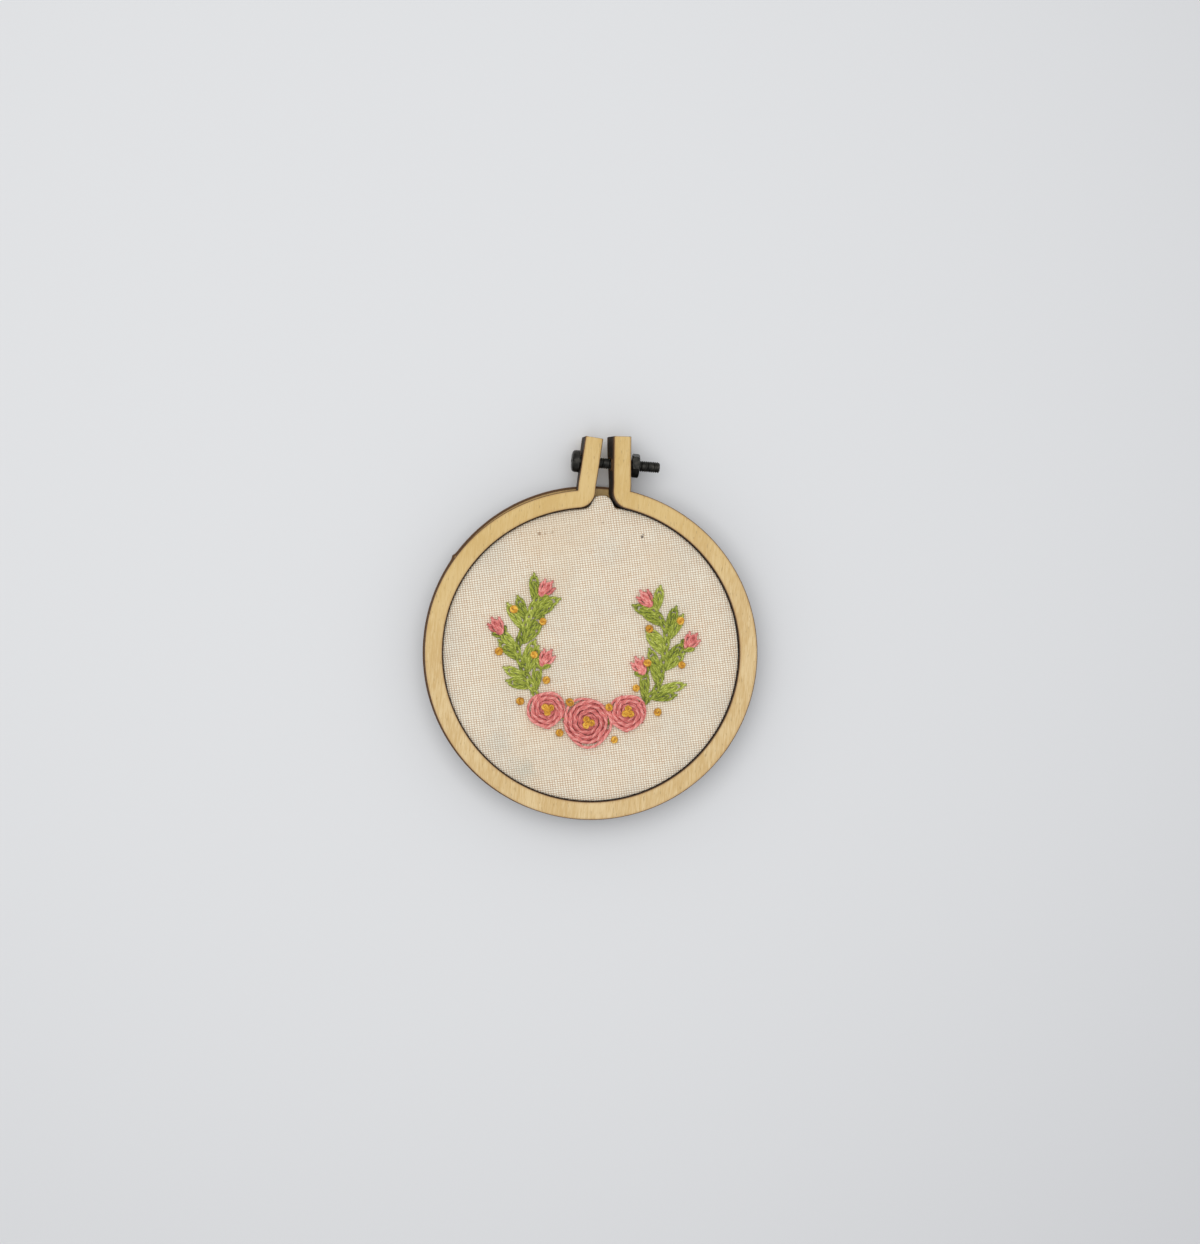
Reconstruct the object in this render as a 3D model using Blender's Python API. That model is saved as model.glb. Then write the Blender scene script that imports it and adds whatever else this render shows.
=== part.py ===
"""Mini embroidery hoop with its stretched cloth.

Metres. +Z points out of the embroidered face, +Y towards the two ears, and X runs along the bolt.
The origin is the hoop's centre on the underside of the backing disc.
"""

import math

import bmesh
import bpy
from mathutils import Matrix, Vector

MM = 0.001
CLEARANCE = 0.3 * MM

# Plywood ring, as it is cut flat, before the bolt is tightened.
OPENING_RADIUS = 27.5 * MM
RING_WIDTH = 3.3 * MM
RING_THICKNESS = 5.0 * MM
RING_STEPS = 44
OUTER_RADIUS = OPENING_RADIUS + RING_WIDTH

# The two ears beside the cut, with a rounded inner corner where each joins the ring.
CUT_WIDTH = 3.3 * MM
EAR_WIDTH = RING_WIDTH
EAR_TOP = 40.4 * MM
EAR_STEPS = 8
CORNER_RADIUS = 3.2 * MM
CORNER_STEPS = 8

# What tightening the bolt does to each arm of the ring. Bend pulls the arm's end in towards the centre,
# pitch is the slope at which the end lifts off the disc, lean tips the ear over the cut, and twist
# turns the ear about its own length. Swell is how wide the cloth bulges into this half of the cut.
ARMS = {
    "right": {"side": 1, "bend": 0.10 * MM, "pitch": 6.0, "lean": 3.8, "twist": 11.0, "swell": 1.6 * MM},
    "left": {"side": -1, "bend": 0.65 * MM, "pitch": 0.0, "lean": 4.3, "twist": 4.5, "swell": 1.85 * MM},
}
BEND_START = 80.0
PITCH_START = 32.0
LEAN_RISE = 3.0 * MM

# Discs: the backing disc closes the back, and the plate carries the cloth.
BACKING_RADIUS = 31.0 * MM
BACKING_THICKNESS = 1.5 * MM
PLATE_RADIUS = 25.0 * MM
PLATE_THICKNESS = 1.2 * MM
DISC_SEGMENTS = 120

# Cloth: stretched over the plate, wrapped round its rim and turned under it.
CLOTH_THICKNESS = 1.0 * MM
CLOTH_GAP = 0.4 * MM
CLOTH_RECESS = 1.2 * MM
CLOTH_EDGE_RADIUS = 1.2 * MM
CLOTH_FOLD_RADIUS = 0.8 * MM
CLOTH_INNER_CHAMFER = 0.3 * MM
HEM_EDGE_RADIUS = 21.0 * MM
SWELL_RADIUS = 29.1 * MM
SWELL_SPREAD = 8.0

# M2 machine screw and nut.
BOLT_Y = 35.2 * MM
BOLT_Z = 4.6 * MM
BOLT_RADIUS = 0.98 * MM
BOLT_TIP_X = 9.9 * MM
BOLT_TIP_CHAMFER = 0.25 * MM
HEAD_RADIUS = 2.05 * MM
HEAD_THICKNESS = 1.45 * MM
HEAD_ROUNDING = 0.8 * MM
HEAD_FACE_X = -5.05 * MM
NUT_FACE_X = 4.9 * MM
NUT_THICKNESS = 1.4 * MM
NUT_ACROSS_FLATS = 4.0 * MM
NUT_TURN = 16.0
ROUND_SEGMENTS = 32

# Heights above the surface that the hoop lies on.
RING_BACK_Z = BACKING_THICKNESS + CLEARANCE
RING_FRONT_Z = RING_BACK_Z + RING_THICKNESS
CLOTH_FRONT_Z = RING_FRONT_Z - CLOTH_RECESS
PLATE_FRONT_Z = CLOTH_FRONT_Z - CLOTH_THICKNESS - CLEARANCE


def clear_scene():
    for item in list(bpy.data.objects):
        bpy.data.objects.remove(item, do_unlink=True)


def material(name, colour, roughness, metallic=0.0):
    made = bpy.data.materials.new(name)
    made.use_nodes = True
    shader = made.node_tree.nodes["Principled BSDF"]
    shader.inputs["Base Color"].default_value = (*colour, 1.0)
    shader.inputs["Roughness"].default_value = roughness
    shader.inputs["Metallic"].default_value = metallic
    made.diffuse_color = (*colour, 1.0)
    return made


def add_object(name, mesh_data, finish=None):
    made = bpy.data.objects.new(name, mesh_data)
    bpy.context.collection.objects.link(made)
    if finish:
        made.data.materials.append(finish)
    return made


def mesh_from(name, body, sharp_angle=35.0):
    """Turn a bmesh into a mesh with outward faces, smooth on its round stretches."""
    bmesh.ops.remove_doubles(body, verts=body.verts, dist=0.000001)
    bmesh.ops.recalc_face_normals(body, faces=body.faces)
    mesh = bpy.data.meshes.new(name)
    body.to_mesh(mesh)
    body.free()
    mesh.shade_smooth()
    mesh.set_sharp_from_angle(angle=math.radians(sharp_angle))
    return mesh


def ease(value):
    """Smooth step from 0 to 1, flat at both ends."""
    value = min(max(value, 0.0), 1.0)
    return value * value * (3.0 - 2.0 * value)


def mix(start, end, amount):
    return start + (end - start) * amount


def bridge_loops_of_points(name, loops, closed):
    """Skin a row of equal loops of points. An open row gets a cap at each end."""
    body = bmesh.new()
    rows = [[body.verts.new(point) for point in loop] for loop in loops]
    pairs = list(zip(rows, rows[1:]))
    if closed:
        pairs.append((rows[-1], rows[0]))
    for here, there in pairs:
        for index in range(len(here)):
            after = (index + 1) % len(here)
            body.faces.new((here[index], here[after], there[after], there[index]))
    if not closed:
        body.faces.new(rows[0])
        body.faces.new(rows[-1])
    return mesh_from(name, body)


def cylinder(name, radius, depth, segments, place):
    """A closed cylinder, or a prism for few segments, with its middle at the given place."""
    body = bmesh.new()
    bmesh.ops.create_cone(
        body, cap_ends=True, segments=segments, radius1=radius, radius2=radius, depth=depth, matrix=place
    )
    return mesh_from(name, body)


# ---------------------------------------------------------------- ring


def plan_sections():
    """Sections of the right-hand half as cut: inner point, outer point, arm angle, rise up the ear."""
    fillet_x = CUT_WIDTH / 2 + CORNER_RADIUS
    fillet_y = math.sqrt((OPENING_RADIUS + CORNER_RADIUS) ** 2 - fillet_x ** 2)
    corner_x = CUT_WIDTH / 2 + EAR_WIDTH
    corner_y = math.sqrt(OUTER_RADIUS ** 2 - corner_x ** 2)
    inner_root = math.atan2(fillet_x, fillet_y)
    outer_root = math.atan2(corner_x, corner_y)
    sections = []
    for step in range(RING_STEPS + 1):
        inner_angle = mix(math.pi, inner_root, step / RING_STEPS)
        outer_angle = mix(math.pi, outer_root, step / RING_STEPS)
        inner = Vector((math.sin(inner_angle), math.cos(inner_angle), 0)) * OPENING_RADIUS
        outer = Vector((math.sin(outer_angle), math.cos(outer_angle), 0)) * OUTER_RADIUS
        sections.append((inner, outer, inner_angle, 0.0))
    for step in range(1, CORNER_STEPS):
        turn = mix(math.pi + math.atan2(fillet_y, fillet_x), math.pi, step / CORNER_STEPS)
        inner = Vector((fillet_x, fillet_y, 0)) + Vector((math.cos(turn), math.sin(turn), 0)) * CORNER_RADIUS
        sections.append((inner, Vector((corner_x, corner_y, 0)), inner_root, 0.0))
    for step in range(EAR_STEPS + 1):
        amount = step / EAR_STEPS
        inner = Vector((CUT_WIDTH / 2, mix(fillet_y, EAR_TOP, amount), 0))
        outer = Vector((corner_x, mix(corner_y, EAR_TOP, amount), 0))
        sections.append((inner, outer, inner_root, inner.y - fillet_y))
    return sections


def arm_bend(angle, arm):
    """How far the bolt pulls this stretch of the arm in towards the hoop's centre."""
    root = math.atan2(CUT_WIDTH / 2 + CORNER_RADIUS, OPENING_RADIUS)
    start = math.radians(BEND_START)
    return arm["bend"] * ease((start - angle) / (start - root))


def arm_roll(angle, rise, arm):
    """Turn about Y: the arm's pitch up to the ear's root, then the ear's own twist on top of it."""
    root = math.atan2(CUT_WIDTH / 2 + CORNER_RADIUS, OPENING_RADIUS)
    start = math.radians(PITCH_START)
    pitch = arm["pitch"] * ease((start - angle) / (start - root))
    ear_length = EAR_TOP - OUTER_RADIUS
    return math.radians(mix(pitch, arm["twist"], ease(rise / ear_length)) if rise else pitch)


def bent_sections(arm):
    """Four corner points of each section of one arm, from the foot of the ring to the ear's top.

    A section that rolls keeps its front face over its place in the plan, and its back swings aside.
    """
    side = arm["side"]
    root = Vector((side * (CUT_WIDTH + EAR_WIDTH) / 2, OUTER_RADIUS, 0))
    loops = []
    lift = 0.0
    last_x = 0.0
    for inner, outer, angle, rise in plan_sections():
        inward = Vector((-side * math.sin(angle), -math.cos(angle), 0)) * arm_bend(angle, arm)
        lean = math.radians(arm["lean"]) * side * ease(rise / LEAN_RISE)
        tip = Matrix.Translation(root) @ Matrix.Rotation(lean, 4, "Z") @ Matrix.Translation(-root)
        ends = [tip @ Vector((side * end.x, end.y, 0)) + inward for end in (inner, outer)]
        centre = (ends[0] + ends[1]) / 2
        roll = arm_roll(angle, rise, arm)
        lift -= math.tan(roll) * (centre.x - last_x)
        last_x = centre.x
        centre.z = (RING_BACK_Z + RING_FRONT_Z) / 2 + lift
        centre.x -= math.sin(roll) * RING_THICKNESS / 2
        turn = Matrix.Rotation(roll, 3, "Y")
        across = (ends[1] - ends[0]) / 2
        upward = Vector((0, 0, RING_THICKNESS / 2))
        corners = (-across - upward, across - upward, across + upward, upward - across)
        loops.append([centre + turn @ corner for corner in corners])
    return loops


def bolt_hole_cutter():
    length = 4 * (CUT_WIDTH + EAR_WIDTH)
    place = Matrix.Translation((0, BOLT_Y, BOLT_Z)) @ Matrix.Rotation(math.radians(90), 4, "Y")
    mesh = cylinder("bolt_hole_cutter", BOLT_RADIUS + CLEARANCE, length, ROUND_SEGMENTS, place)
    return add_cutter("bolt_hole_cutter", mesh)


def add_cutter(name, mesh):
    cutter = add_object(name, mesh)
    cutter.hide_render = True
    cutter.display_type = "WIRE"
    return cutter


def cut(target, cutter):
    modifier = target.modifiers.new("cut_" + cutter.name, "BOOLEAN")
    modifier.operation = "DIFFERENCE"
    modifier.solver = "EXACT"
    modifier.object = cutter


def outer_ring(finish, cutter):
    right = bent_sections(ARMS["right"])
    left = bent_sections(ARMS["left"])
    mesh = bridge_loops_of_points("outer_ring", right[:0:-1] + left, closed=False)
    cut(add_object("outer_ring", mesh, finish), cutter)


# ---------------------------------------------------------------- discs


def disc(name, radius, bottom, thickness, finish):
    place = Matrix.Translation((0, 0, bottom + thickness / 2))
    add_object(name, cylinder(name, radius, thickness, DISC_SEGMENTS, place), finish)


# ---------------------------------------------------------------- cloth


def wall_radius(angle):
    """Radius of the wrapped cloth at a signed angle from +Y: it fills the ring and swells into the cut."""
    arm = ARMS["right"] if angle > 0 else ARMS["left"]
    between = (ARMS["left"]["bend"] + ARMS["right"]["bend"]) / 2
    away = ease(abs(angle) / math.radians(SWELL_SPREAD))
    held = OPENING_RADIUS - CLOTH_GAP - mix(between, arm_bend(abs(angle), arm), away)
    across = held * math.sin(angle) / arm["swell"]
    free = math.exp(-across ** 4) if math.cos(angle) > 0 else 0.0
    return mix(held, SWELL_RADIUS, free)


def cloth_angles():
    """Angles round the cloth, closer together where it swells into the cut."""
    half = [0.0]
    while half[-1] < 176.0:
        near = half[-1] < 12.0
        half.append(half[-1] + (1.2 if near else 4.0))
    half = [angle * 180.0 / half[-1] for angle in half]
    return [math.radians(angle) for angle in [-angle for angle in half[:0:-1]] + half[:-1]]


def arc(centre_r, centre_z, radius, start, end, steps):
    points = []
    for step in range(steps + 1):
        turn = math.radians(mix(start, end, step / steps))
        points.append((centre_r + radius * math.cos(turn), centre_z + radius * math.sin(turn)))
    return points


def cloth_profile(radius):
    """Cross-section from the face, over the rim and under to the hem's edge, then back inside."""
    edge = CLOTH_EDGE_RADIUS
    fold = CLOTH_FOLD_RADIUS
    inside = radius - CLOTH_THICKNESS
    chamfer = CLOTH_INNER_CHAMFER
    hem_top = RING_BACK_Z + CLOTH_THICKNESS
    face_back = CLOTH_FRONT_Z - CLOTH_THICKNESS
    return [
        *arc(radius - edge, CLOTH_FRONT_Z - edge, edge, 90, 0, 5),
        *arc(radius - fold, RING_BACK_Z + fold, fold, 0, -90, 4),
        (HEM_EDGE_RADIUS, RING_BACK_Z),
        (HEM_EDGE_RADIUS, hem_top),
        (inside - chamfer, hem_top),
        (inside, hem_top + chamfer),
        (inside, face_back - chamfer),
        (inside - chamfer, face_back),
    ]


def embroidered_cloth(finish):
    body = bmesh.new()
    rows = []
    for angle in cloth_angles():
        outward = Vector((math.sin(angle), math.cos(angle), 0))
        profile = cloth_profile(wall_radius(angle))
        rows.append([body.verts.new(outward * radius + Vector((0, 0, height))) for radius, height in profile])
    front = body.verts.new((0, 0, CLOTH_FRONT_Z))
    behind = body.verts.new((0, 0, CLOTH_FRONT_Z - CLOTH_THICKNESS))
    for here, there in zip(rows, rows[1:] + rows[:1]):
        for index in range(len(here) - 1):
            body.faces.new((here[index], here[index + 1], there[index + 1], there[index]))
        body.faces.new((front, here[0], there[0]))
        body.faces.new((behind, there[-1], here[-1]))
    add_object("embroidered_cloth", mesh_from("embroidered_cloth", body), finish)


# ---------------------------------------------------------------- bolt and nut


def bolt(finish):
    """One turned piece: rounded head, plain shaft of the thread's outer size, chamfered tip."""
    head_end = HEAD_FACE_X - HEAD_THICKNESS
    profile = [(0.0, head_end)]
    for step in range(6):
        turn = math.radians(90 * step / 5)
        radius = HEAD_RADIUS - HEAD_ROUNDING * (1 - math.sin(turn))
        profile.append((radius, head_end + HEAD_ROUNDING * (1 - math.cos(turn))))
    profile.append((HEAD_RADIUS, HEAD_FACE_X))
    profile.append((BOLT_RADIUS, HEAD_FACE_X))
    profile.append((BOLT_RADIUS, BOLT_TIP_X - BOLT_TIP_CHAMFER))
    profile.append((BOLT_RADIUS - BOLT_TIP_CHAMFER, BOLT_TIP_X))
    profile.append((0.0, BOLT_TIP_X))
    body = bmesh.new()
    verts = [body.verts.new((along, BOLT_Y + radius, BOLT_Z)) for radius, along in profile]
    edges = [body.edges.new(pair) for pair in zip(verts, verts[1:])]
    bmesh.ops.spin(
        body, geom=verts + edges, cent=(0, BOLT_Y, BOLT_Z), axis=(1, 0, 0), angle=math.radians(360),
        steps=ROUND_SEGMENTS, use_merge=True
    )
    add_object("bolt", mesh_from("bolt", body), finish)


def nut(finish):
    """Six-sided, with its corners turned a little off the upright."""
    place = (
        Matrix.Translation((NUT_FACE_X + NUT_THICKNESS / 2, BOLT_Y, BOLT_Z))
        @ Matrix.Rotation(math.radians(NUT_TURN), 4, "X")
        @ Matrix.Rotation(math.radians(90), 4, "Y")
    )
    mesh = cylinder("nut", NUT_ACROSS_FLATS / math.sqrt(3), NUT_THICKNESS, 6, place)
    return add_object("nut", mesh, finish)


def main():
    clear_scene()
    plywood = material("plywood", (0.73, 0.51, 0.24), 0.6)
    backing = material("backing_plywood", (0.62, 0.43, 0.22), 0.65)
    core = material("plate_plywood", (0.66, 0.47, 0.24), 0.65)
    cotton = material("cotton", (0.83, 0.75, 0.62), 0.9)
    black_steel = material("black_steel", (0.03, 0.03, 0.03), 0.4, 0.9)
    nut_steel = material("nut_steel", (0.03, 0.03, 0.03), 0.45, 0.9)
    hole = bolt_hole_cutter()
    outer_ring(plywood, hole)
    disc("backing_disc", BACKING_RADIUS, 0.0, BACKING_THICKNESS, backing)
    disc("inner_plate", PLATE_RADIUS, PLATE_FRONT_Z - PLATE_THICKNESS, PLATE_THICKNESS, core)
    embroidered_cloth(cotton)
    bolt(black_steel)
    cut(nut(nut_steel), hole)


main()
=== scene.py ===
# %% [markdown]
# # A mini embroidery hoop, from plywood to stitches
# This notebook finishes a small embroidery hoop. The construction model already holds every piece at
# its real size: a plywood ring with two ears, a backing disc, a plate under the cloth, the cloth, and
# a bolt with its nut. Here each of them gets its real surface: burnt laser-cut edges, grain, a screw
# thread, a woven cloth, and a stitched garland of flowers. We begin by loading that model and keeping
# its box, because nothing that we add may outgrow it.

# %% Load the construction model
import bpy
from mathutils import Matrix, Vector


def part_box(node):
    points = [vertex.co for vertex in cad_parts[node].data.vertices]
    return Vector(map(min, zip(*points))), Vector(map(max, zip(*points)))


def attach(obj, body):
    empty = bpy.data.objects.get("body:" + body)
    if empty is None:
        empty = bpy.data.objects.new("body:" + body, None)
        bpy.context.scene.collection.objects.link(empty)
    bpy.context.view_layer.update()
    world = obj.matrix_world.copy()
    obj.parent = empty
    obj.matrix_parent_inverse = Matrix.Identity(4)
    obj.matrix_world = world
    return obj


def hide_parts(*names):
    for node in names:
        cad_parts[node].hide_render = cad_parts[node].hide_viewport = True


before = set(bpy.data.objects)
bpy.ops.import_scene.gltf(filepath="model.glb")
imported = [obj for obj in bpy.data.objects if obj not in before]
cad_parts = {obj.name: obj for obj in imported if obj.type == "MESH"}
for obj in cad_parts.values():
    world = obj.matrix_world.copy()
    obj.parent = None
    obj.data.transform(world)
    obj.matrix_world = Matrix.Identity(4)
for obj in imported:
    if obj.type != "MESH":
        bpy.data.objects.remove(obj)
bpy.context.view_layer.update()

import math

import bmesh
import bpy
import numpy as np
from mathutils import Matrix, Vector

MM = 0.001
scene = bpy.context.scene
for node in sorted(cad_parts):
    low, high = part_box(node)
    print(node, [round(side / MM, 1) for side in high - low], "mm")

# %% [markdown]
# ## Places taken from the model
# A piece that is drawn again in more detail has to fit where the plain one was. So we read the
# heights and radii that we need from the boxes of the plain pieces, and name them once.

# %% Heights and radii
ring_low, ring_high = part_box("outer_ring")
disc_low, disc_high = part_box("backing_disc")
cloth_low, cloth_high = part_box("embroidered_cloth")
bolt_low, bolt_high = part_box("bolt")
nut_low, nut_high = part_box("nut")

CLEARANCE = 0.3 * MM
RING_BACK = disc_high.z + CLEARANCE
RING_THICKNESS = 5.0 * MM
RING_FRONT = RING_BACK + RING_THICKNESS
CLOTH_FRONT = cloth_high.z
BOLT_Y = (bolt_low.y + bolt_high.y) / 2
BOLT_Z = (bolt_low.z + bolt_high.z) / 2
print("ring face at", round(RING_FRONT / MM, 2), "mm, cloth face at", round(CLOTH_FRONT / MM, 2), "mm")

# %% [markdown]
# ## The camera
# The hoop is seen almost straight from above, from a little to its left, and turned slightly
# clockwise. A camera could be rotated by hand until that looks right. It is surer to state the
# angles and the scale, and to build the camera's axes from them: where it looks, which way is right
# in the picture, and which way is up.

# %% Camera
IMAGE_LONG_SIDE = 1244
DOTS_PER_MM = 5.42
CAMERA_DISTANCE = 600 * MM
HOOP_TURN = math.radians(4.4)
SIDE_TILT = math.radians(4.0)
AIM_RIGHT = 1.57 * MM
AIM_UP = 5.72 * MM

right = Vector((math.cos(HOOP_TURN), math.sin(HOOP_TURN), 0))
up = Vector((-math.sin(HOOP_TURN), math.cos(HOOP_TURN), 0))
aim = Vector((0, 0, RING_FRONT)) + right * AIM_RIGHT + up * AIM_UP
backward = Vector((0, 0, 1)) * math.cos(SIDE_TILT) - right * math.sin(SIDE_TILT)
right = (right - backward * right.dot(backward)).normalized()
axes = Matrix((right, backward.cross(right), backward)).transposed()

camera_data = bpy.data.cameras.new("camera")
camera = bpy.data.objects.new("camera", camera_data)
scene.collection.objects.link(camera)
camera.matrix_world = Matrix.Translation(aim + backward * CAMERA_DISTANCE) @ axes.to_4x4()
camera_data.sensor_width = 36
camera_data.lens = DOTS_PER_MM * (CAMERA_DISTANCE / MM) / IMAGE_LONG_SIDE * camera_data.sensor_width
camera_data.clip_start = 0.01
camera_data.clip_end = 10
scene.camera = camera
print("lens", round(camera_data.lens, 1), "mm")

# %% [markdown]
# ## Writing node trees as sums
# Materials and Geometry Nodes are both trees of small sums. Placing and joining each node by hand
# takes four lines for one addition. A thin wrapper around a socket lets Python's own operators do it:
# `1 - mask * 2` adds two Math nodes and joins them. `Net.node` adds any other node in one line.

# %% Sockets that can be added and multiplied
class Wire:
    """One output of a node, with arithmetic. Python's operators add Math nodes to its tree."""

    def __init__(self, net, socket):
        self.net = net
        self.socket = socket

    def also(self, name):
        """Another output of the same node."""
        return Wire(self.net, self.socket.node.outputs[name])

    def math(self, operation, first, second=0.0, third=0.0):
        return self.net.node("ShaderNodeMath", {"operation": operation}, {0: first, 1: second, 2: third})

    def __add__(self, other):
        return self.math("ADD", self, other)

    def __radd__(self, other):
        return self.math("ADD", other, self)

    def __sub__(self, other):
        return self.math("SUBTRACT", self, other)

    def __rsub__(self, other):
        return self.math("SUBTRACT", other, self)

    def __mul__(self, other):
        return self.math("MULTIPLY", self, other)

    def __rmul__(self, other):
        return self.math("MULTIPLY", other, self)

    def __truediv__(self, other):
        return self.math("DIVIDE", self, other)

    def __rtruediv__(self, other):
        return self.math("DIVIDE", other, self)

    def __pow__(self, other):
        return self.math("POWER", self, other)

    def __mod__(self, other):
        return self.math("FLOORED_MODULO", self, other)

    def __neg__(self):
        return self.math("MULTIPLY", self, -1.0)

    def sine(self):
        return self.math("SINE", self)

    def cosine(self):
        return self.math("COSINE", self)

    def size(self):
        return self.math("ABSOLUTE", self)

    def floor(self):
        return self.math("FLOOR", self)

    def ramp(self, low, high, start=0.0, end=1.0):
        """Smooth step: start at or below low, end at or above high."""
        sockets = {0: self, 1: low, 2: high, 3: start, 4: end}
        return self.net.node("ShaderNodeMapRange", {"interpolation_type": "SMOOTHSTEP"}, sockets)


class Net:
    """A node tree, and the one method that adds a node to it."""

    def __init__(self, tree):
        self.tree = tree

    def node(self, kind, settings=None, sockets=None, output=0):
        made = self.tree.nodes.new(kind)
        for name, value in (settings or {}).items():
            if name == "stops":
                self.set_stops(made.color_ramp, value)
            else:
                setattr(made, name, value)
        for name, value in (sockets or {}).items():
            if isinstance(value, Wire):
                self.tree.links.new(value.socket, made.inputs[name])
            elif value is not None:
                made.inputs[name].default_value = value
        return Wire(self, made.outputs[output]) if made.outputs else made

    @staticmethod
    def set_stops(ramp, stops):
        while len(ramp.elements) < len(stops):
            ramp.elements.new(0.5)
        for element, (position, colour) in zip(ramp.elements, stops):
            element.position = position
            element.color = (*colour, 1.0)

    def colour_mix(self, amount, first, second, blend="MIX"):
        """Mix node in its colour form, whose colour inputs are numbers 6 and 7."""
        first = first if isinstance(first, Wire) else (*first, 1.0)
        second = second if isinstance(second, Wire) else (*second, 1.0)
        settings = {"data_type": "RGBA", "blend_type": blend}
        return self.node("ShaderNodeMix", settings, {0: amount, 6: first, 7: second}, output=2)

    def vector(self, x, y, z):
        return self.node("ShaderNodeCombineXYZ", None, {0: x, 1: y, 2: z})


print("wrapper ready:", Wire.__name__, "and", Net.__name__)

# %% [markdown]
# ## One way to start a material
# Every finish here is worked out from where a point lies on the object, in millimetres, so its
# pattern has a real size. `Finish` sets up the shader, hands out those coordinates, and joins the
# results to the few sockets that may vary over a surface. Numbers that are the same all over, such
# as metallic or sheen, are set on the shader itself.

# %% The finish helper
class Finish(Net):
    """A material whose pattern is read in millimetres from the object's own coordinates."""

    def __init__(self, name, **fixed):
        self.material = bpy.data.materials.new(name)
        self.material.use_nodes = True
        super().__init__(self.material.node_tree)
        self.shader = self.tree.nodes["Principled BSDF"]
        for socket, value in fixed.items():
            self.shader.inputs[socket.replace("_", " ")].default_value = value
        place = self.node("ShaderNodeTexCoord", output=3)
        split = self.node("ShaderNodeSeparateXYZ", None, {0: place})
        self.x = split * (1 / MM)
        self.y = split.also("Y") * (1 / MM)
        self.z = split.also("Z") * (1 / MM)

    def noise(self, x, y, z, detail=2.0, roughness=0.5):
        """Soft noise from 0 to 1, about one bump for each unit of the given coordinates."""
        sockets = {"Vector": self.vector(x, y, z), "Scale": 1.0, "Detail": detail, "Roughness": roughness}
        return self.node("ShaderNodeTexNoise", None, sockets)

    def attribute(self, name):
        return self.node("ShaderNodeAttribute", {"attribute_name": name}, output=2)

    def finish(self, colour=None, roughness=None, height=None, bump_mm=0.1, strength=1.0):
        for socket, value in (("Base Color", colour), ("Roughness", roughness)):
            if isinstance(value, Wire):
                self.tree.links.new(value.socket, self.shader.inputs[socket])
        if height is not None:
            sockets = {"Height": height, "Distance": bump_mm * MM, "Strength": strength}
            bump = self.node("ShaderNodeBump", None, sockets)
            self.tree.links.new(bump.socket, self.shader.inputs["Normal"])
        return self.material


def srgb(red, green, blue):
    """A colour given from 0 to 255, as it looks on a screen, turned into the light it stands for."""
    light = []
    for share in (red / 255, green / 255, blue / 255):
        light.append(share / 12.92 if share <= 0.04045 else ((share + 0.055) / 1.055) ** 2.4)
    return tuple(light)


print("mid grey is", [round(value, 3) for value in srgb(128, 128, 128)])

# %% [markdown]
# ## Floor, light and sky
# Small things like this are shown on a white card under a large soft light. The light has to be
# large, compared with the few millimetres that the hoop stands high, so that its shadow is a soft
# band close to the edge. A grey sky fills the rest, and keeps the shadow pale.

# %% Floor
FLOOR_SIDE = 1.6


def floor_finish():
    made = Finish("white_card", Roughness=0.75)
    cloud = made.noise(made.x * 0.004, made.y * 0.004, made.z, 1.0)
    # The card darkens away from a point at its upper left: painted light fall-off from the softbox, laid
    # over the card's faint cloudiness.
    away = (made.x + 38.0) ** 2.0 + (made.y - 46.0) ** 2.0
    pale = made.colour_mix(cloud, (0.745, 0.75, 0.757), (0.76, 0.763, 0.766))
    return made.finish(colour=made.colour_mix(away.ramp(-9000.0, 70000.0), pale, (0.60, 0.603, 0.615)))


floor_shape = bmesh.new()
bmesh.ops.create_grid(floor_shape, x_segments=4, y_segments=4, size=FLOOR_SIDE / 2)
floor_mesh = bpy.data.meshes.new("floor")
floor_shape.to_mesh(floor_mesh)
floor_shape.free()
floor = bpy.data.objects.new("floor", floor_mesh)
scene.collection.objects.link(floor)
floor_mesh.materials.append(floor_finish())
print("floor", FLOOR_SIDE, "m square")

# %% Lights
LIGHT_SIZE = 1.15
LIGHT_WATTS = 6.15
SKY_STRENGTH = 0.605
SOFTBOX_PLACE = (-0.14, 0.13, 1.0)


def soft_light(name, place, size, watts, colour):
    data = bpy.data.lights.new(name, "AREA")
    data.size = size
    data.energy = watts
    data.color = colour
    made = bpy.data.objects.new(name, data)
    scene.collection.objects.link(made)
    made.location = place
    made.rotation_euler = (-Vector(place)).to_track_quat("-Z", "Y").to_euler()
    return made


soft_light("softbox", SOFTBOX_PLACE, LIGHT_SIZE, LIGHT_WATTS, (1.0, 0.995, 0.985))
sky = bpy.data.worlds.new("sky")
sky.use_nodes = True
sky.node_tree.nodes["Background"].inputs["Color"].default_value = (0.95, 0.968, 1.0, 1.0)
sky.node_tree.nodes["Background"].inputs["Strength"].default_value = SKY_STRENGTH
scene.world = sky
scene.view_settings.view_transform = "Standard"
print("softbox", LIGHT_WATTS, "W")

# %% [markdown]
# ## Making meshes from loops
# Most hard pieces here are one outline carried along a line, or turned about an axis. Both come down
# to the same step: rows of points, with faces between one row and the next. Each point may carry
# extra numbers, such as how far it is from a burnt edge, which the material reads as an attribute.

# %% Mesh helpers
SLIVER = 0.004 * MM


def add_piece(name, mesh, material=None):
    made = bpy.data.objects.new(name, mesh)
    scene.collection.objects.link(made)
    if material:
        mesh.materials.append(material)
    return made


def shade(mesh, sharp_degrees):
    mesh.shade_smooth()
    mesh.set_sharp_from_angle(angle=math.radians(sharp_degrees))
    return mesh


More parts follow.
